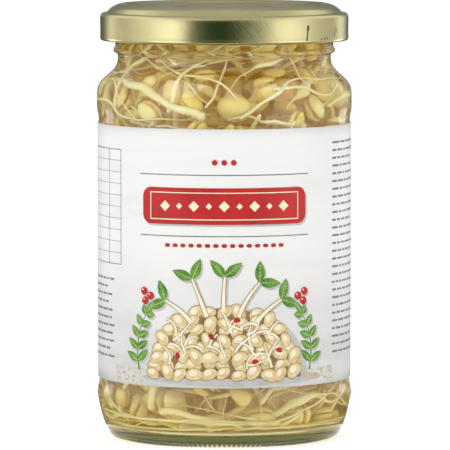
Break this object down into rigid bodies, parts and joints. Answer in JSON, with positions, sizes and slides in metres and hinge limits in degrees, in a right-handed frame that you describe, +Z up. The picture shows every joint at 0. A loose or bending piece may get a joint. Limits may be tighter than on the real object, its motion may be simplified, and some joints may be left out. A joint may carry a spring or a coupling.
{
  "type": "jar of bean sprouts",
  "caption": "Closed glass jar of pickled soybean sprouts in brine, with a gold twist-off lid and a paper label round its sides",
  "frame": {"origin": "centre of the ring that the jar stands on, at the surface it stands on", "axes": "+Z up along the jar's axis, -Y towards the front of the label, +X to the viewer's right"},
  "size_m": [0.0714, 0.0714, 0.1215],
  "materials": {
    "glass": "clear soda-lime glass, gloss, faintly green",
    "label": "white coated paper, satin",
    "brine": "clear amber liquid",
    "sprout": "moist, cream to pale yellow",
    "lid": "gold lacquer over tinplate, fine scratches",
    "seal": "soft cream sealing compound"
  },
  "bodies": {
    "jar": {"glass_jar": "glass", "label": "label", "brine": "brine", "sprout_01": "sprout", "sprout_02": "sprout", "sprout_03": "sprout", "sprout_04": "sprout", "sprout_05": "sprout", "sprout_06": "sprout", "sprout_07": "sprout", "sprout_08": "sprout", "sprout_09": "sprout", "sprout_10": "sprout", "sprout_11": "sprout", "sprout_12": "sprout", "sprout_13": "sprout", "sprout_14": "sprout", "sprout_15": "sprout", "sprout_16": "sprout", "sprout_17": "sprout", "sprout_18": "sprout", "sprout_19": "sprout", "sprout_20": "sprout", "sprout_21": "sprout", "sprout_22": "sprout", "sprout_23": "sprout", "sprout_24": "sprout", "sprout_25": "sprout", "sprout_26": "sprout", "sprout_27": "sprout", "sprout_28": "sprout", "sprout_29": "sprout", "sprout_30": "sprout", "sprout_31": "sprout", "sprout_32": "sprout", "sprout_33": "sprout", "sprout_34": "sprout", "sprout_35": "sprout", "sprout_36": "sprout", "sprout_37": "sprout", "sprout_38": "sprout", "sprout_39": "sprout", "sprout_40": "sprout", "sprout_41": "sprout", "sprout_42": "sprout", "sprout_43": "sprout", "sprout_44": "sprout"},
    "seal_ring": {"lid_seal": "seal"},
    "lid": {"lid": "lid"}
  },
  "joints": [
    {"name": "lid_rise", "type": "slide", "parent": "jar", "child": "seal_ring", "axis": [0, 0, 1], "range_m": [0, 0.00206]},
    {"name": "lid_turn", "type": "hinge", "parent": "seal_ring", "child": "lid", "pos_m": [0, 0, 0.115], "axis": [0, 0, 1], "range_deg": [0, 68]}
  ],
  "couplings": [
    {"joint": "lid_rise", "follows": "lid_turn", "m_per_rad": 0.0017189}
  ]
}
